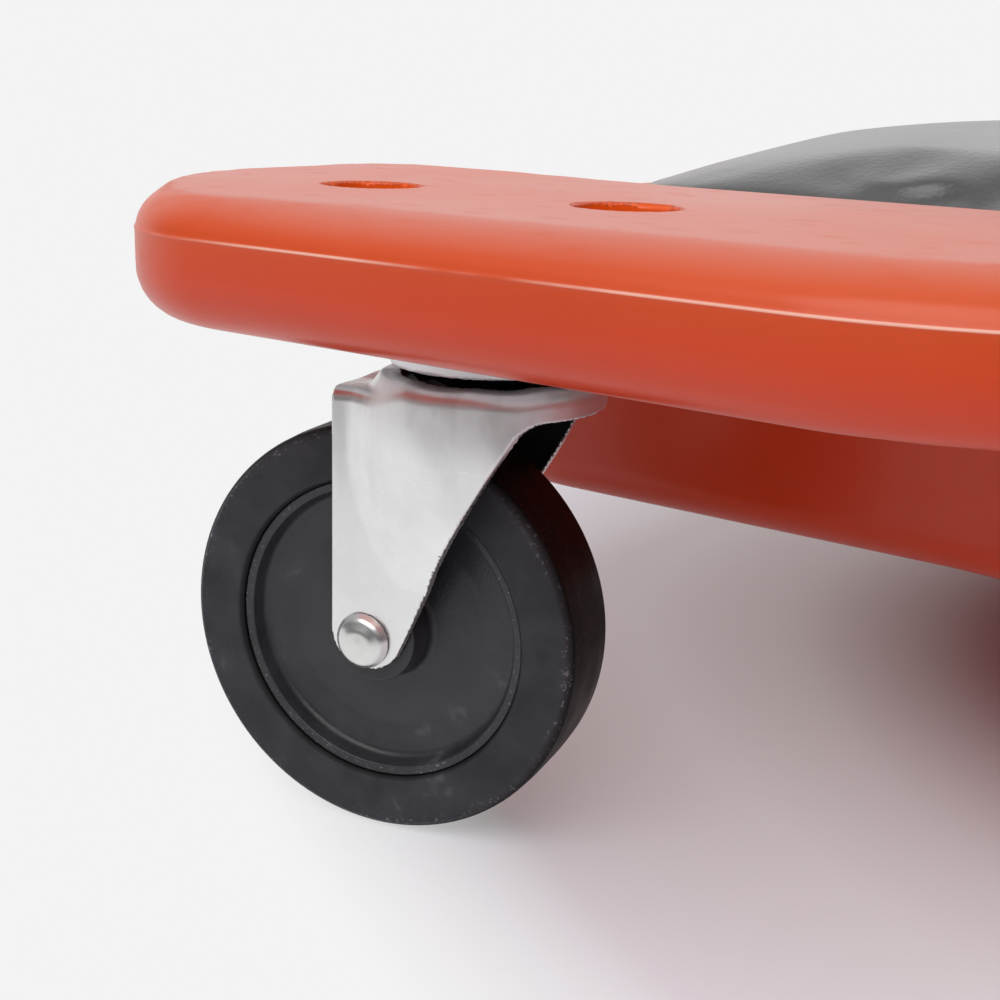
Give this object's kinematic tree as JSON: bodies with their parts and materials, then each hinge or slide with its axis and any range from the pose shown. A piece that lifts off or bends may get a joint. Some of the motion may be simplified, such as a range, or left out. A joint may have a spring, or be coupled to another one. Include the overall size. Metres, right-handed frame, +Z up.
{
  "type": "mechanic creeper",
  "caption": "Low moulded creeper with a long tub to lie in, raised ears over swivel casters and a padded headrest, for rolling under a vehicle.",
  "frame": {"origin": "on the floor, midway along and across the deck", "axes": "+X towards the foot end, +Y towards the left side of a person lying on it, +Z up"},
  "size_m": [1.016, 0.48, 0.1264],
  "materials": {
    "deck": "orange-red blow-moulded polyethylene, satin",
    "fork": "bright zinc-plated pressed steel",
    "plate": "bright zinc-plated pressed steel",
    "rivet": "bright plated rivet steel",
    "balls": "greased bearing steel",
    "bolt": "zinc-plated steel",
    "hub": "black moulded plastic",
    "tyre": "matt black solid rubber",
    "board": "plain plywood",
    "pad_vinyl": "charcoal grained vinyl over foam"
  },
  "bodies": {
    "deck_body": {"deck": "deck", "headrest_pad": "pad_vinyl", "headrest_board": "board", "headrest_screw_right": "bolt", "headrest_screw_left": "bolt", "head_right_plate": "plate", "head_right_kingpin": "rivet", "head_right_bolt_head": "bolt", "head_right_bolt_foot": "bolt", "mid_right_plate": "plate", "mid_right_kingpin": "rivet", "mid_right_bolt_head": "bolt", "mid_right_bolt_foot": "bolt", "foot_right_plate": "plate", "foot_right_kingpin": "rivet", "foot_right_bolt_head": "bolt", "foot_right_bolt_foot": "bolt", "head_left_plate": "plate", "head_left_kingpin": "rivet", "head_left_bolt_head": "bolt", "head_left_bolt_foot": "bolt", "mid_left_plate": "plate", "mid_left_kingpin": "rivet", "mid_left_bolt_head": "bolt", "mid_left_bolt_foot": "bolt", "foot_left_plate": "plate", "foot_left_kingpin": "rivet", "foot_left_bolt_head": "bolt", "foot_left_bolt_foot": "bolt"},
    "head_right_swivel": {"head_right_fork": "fork", "head_right_ball_ring": "balls", "head_right_axle": "rivet"},
    "head_right_wheel": {"head_right_hub": "hub", "head_right_tyre": "tyre"},
    "mid_right_swivel": {"mid_right_fork": "fork", "mid_right_ball_ring": "balls", "mid_right_axle": "rivet"},
    "mid_right_wheel": {"mid_right_hub": "hub", "mid_right_tyre": "tyre"},
    "foot_right_swivel": {"foot_right_fork": "fork", "foot_right_ball_ring": "balls", "foot_right_axle": "rivet"},
    "foot_right_wheel": {"foot_right_hub": "hub", "foot_right_tyre": "tyre"},
    "head_left_swivel": {"head_left_fork": "fork", "head_left_ball_ring": "balls", "head_left_axle": "rivet"},
    "head_left_wheel": {"head_left_hub": "hub", "head_left_tyre": "tyre"},
    "mid_left_swivel": {"mid_left_fork": "fork", "mid_left_ball_ring": "balls", "mid_left_axle": "rivet"},
    "mid_left_wheel": {"mid_left_hub": "hub", "mid_left_tyre": "tyre"},
    "foot_left_swivel": {"foot_left_fork": "fork", "foot_left_ball_ring": "balls", "foot_left_axle": "rivet"},
    "foot_left_wheel": {"foot_left_hub": "hub", "foot_left_tyre": "tyre"}
  },
  "joints": [
    {"name": "head_right_swivel_turn", "type": "hinge", "parent": "deck_body", "child": "head_right_swivel", "pos_m": [-0.423, -0.194, 0.0798], "axis": [0, 0, 1], "continuous": true},
    {"name": "head_right_wheel_spin", "type": "hinge", "parent": "head_right_swivel", "child": "head_right_wheel", "pos_m": [-0.43883, -0.19742, 0.0375], "axis": [0.2113, -0.9774, 0], "continuous": true},
    {"name": "mid_right_swivel_turn", "type": "hinge", "parent": "deck_body", "child": "mid_right_swivel", "pos_m": [0, -0.194, 0.0798], "axis": [0, 0, 1], "continuous": true},
    {"name": "mid_right_wheel_spin", "type": "hinge", "parent": "mid_right_swivel", "child": "mid_right_wheel", "pos_m": [-0.01583, -0.19742, 0.0375], "axis": [0.2113, -0.9774, 0], "continuous": true},
    {"name": "foot_right_swivel_turn", "type": "hinge", "parent": "deck_body", "child": "foot_right_swivel", "pos_m": [0.423, -0.194, 0.0798], "axis": [0, 0, 1], "continuous": true},
    {"name": "foot_right_wheel_spin", "type": "hinge", "parent": "foot_right_swivel", "child": "foot_right_wheel", "pos_m": [0.40717, -0.19742, 0.0375], "axis": [0.2113, -0.9774, 0], "continuous": true},
    {"name": "head_left_swivel_turn", "type": "hinge", "parent": "deck_body", "child": "head_left_swivel", "pos_m": [-0.423, 0.194, 0.0798], "axis": [0, 0, 1], "continuous": true},
    {"name": "head_left_wheel_spin", "type": "hinge", "parent": "head_left_swivel", "child": "head_left_wheel", "pos_m": [-0.43883, 0.19058, 0.0375], "axis": [0.2113, -0.9774, 0], "continuous": true},
    {"name": "mid_left_swivel_turn", "type": "hinge", "parent": "deck_body", "child": "mid_left_swivel", "pos_m": [0, 0.194, 0.0798], "axis": [0, 0, 1], "continuous": true},
    {"name": "mid_left_wheel_spin", "type": "hinge", "parent": "mid_left_swivel", "child": "mid_left_wheel", "pos_m": [-0.01583, 0.19058, 0.0375], "axis": [0.2113, -0.9774, 0], "continuous": true},
    {"name": "foot_left_swivel_turn", "type": "hinge", "parent": "deck_body", "child": "foot_left_swivel", "pos_m": [0.423, 0.194, 0.0798], "axis": [0, 0, 1], "continuous": true},
    {"name": "foot_left_wheel_spin", "type": "hinge", "parent": "foot_left_swivel", "child": "foot_left_wheel", "pos_m": [0.40717, 0.19058, 0.0375], "axis": [0.2113, -0.9774, 0], "continuous": true}
  ]
}
